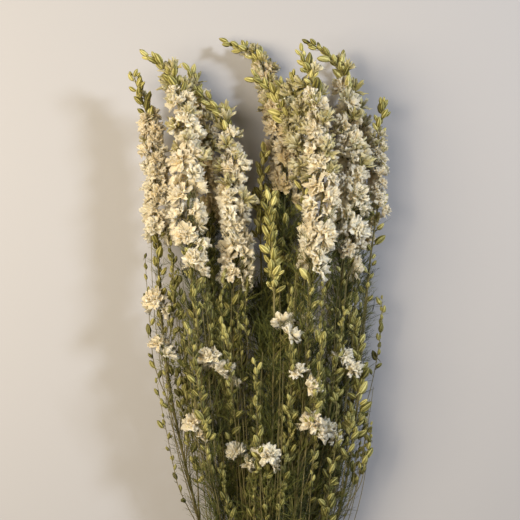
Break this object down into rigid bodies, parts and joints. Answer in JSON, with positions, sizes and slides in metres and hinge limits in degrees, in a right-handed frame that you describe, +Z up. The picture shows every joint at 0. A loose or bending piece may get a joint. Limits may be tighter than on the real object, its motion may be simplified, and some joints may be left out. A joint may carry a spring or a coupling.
{
  "type": "bunch of dried delphinium",
  "caption": "Long bunch of dried white delphinium lying on its side: slender stems with crumpled cream florets, green buds and threadlike leaves, held by a rubber band.",
  "frame": {"origin": "on the surface the bunch lies on, under the centre of its bounding box", "axes": "+Z up; +Y along the stems, from the cut ends to the tips; +X to the right when looking down with the tips away from the viewer"},
  "size_m": [0.2346, 0.7038, 0.097],
  "materials": {
    "stem": "matte",
    "floret": "matte",
    "bud": "matte",
    "leaf": "matte",
    "rubber_band": "matte"
  },
  "bodies": {
    "root": {"stem_01": "stem", "stem_02": "stem", "stem_03": "stem", "stem_04": "stem", "stem_05": "stem", "stem_06": "stem", "stem_07": "stem", "stem_08": "stem", "stem_09": "stem", "stem_10": "stem", "stem_11": "stem", "stem_12": "stem", "stem_13": "stem", "florets_01": "floret", "florets_02": "floret", "florets_03": "floret", "florets_04": "floret", "florets_06": "floret", "florets_08": "floret", "florets_09": "floret", "florets_10": "floret", "florets_11": "floret", "florets_12": "floret", "buds_01": "bud", "buds_02": "bud", "buds_03": "bud", "buds_04": "bud", "buds_05": "bud", "buds_06": "bud", "buds_07": "bud", "buds_08": "bud", "buds_09": "bud", "buds_10": "bud", "buds_11": "bud", "buds_12": "bud", "buds_13": "bud", "leaves_01": "leaf", "leaves_02": "leaf", "leaves_03": "leaf", "leaves_04": "leaf", "leaves_05": "leaf", "leaves_06": "leaf", "leaves_07": "leaf", "leaves_08": "leaf", "leaves_09": "leaf", "leaves_10": "leaf", "leaves_11": "leaf", "leaves_12": "leaf", "leaves_13": "leaf", "shoot_01": "bud", "shoot_02": "bud", "shoot_03": "bud", "shoot_04": "bud", "shoot_05": "bud", "shoot_06": "bud", "shoot_07": "bud", "shoot_08": "bud", "shoot_09": "bud", "rubber_band": "rubber_band"}
  },
  "joints": []
}
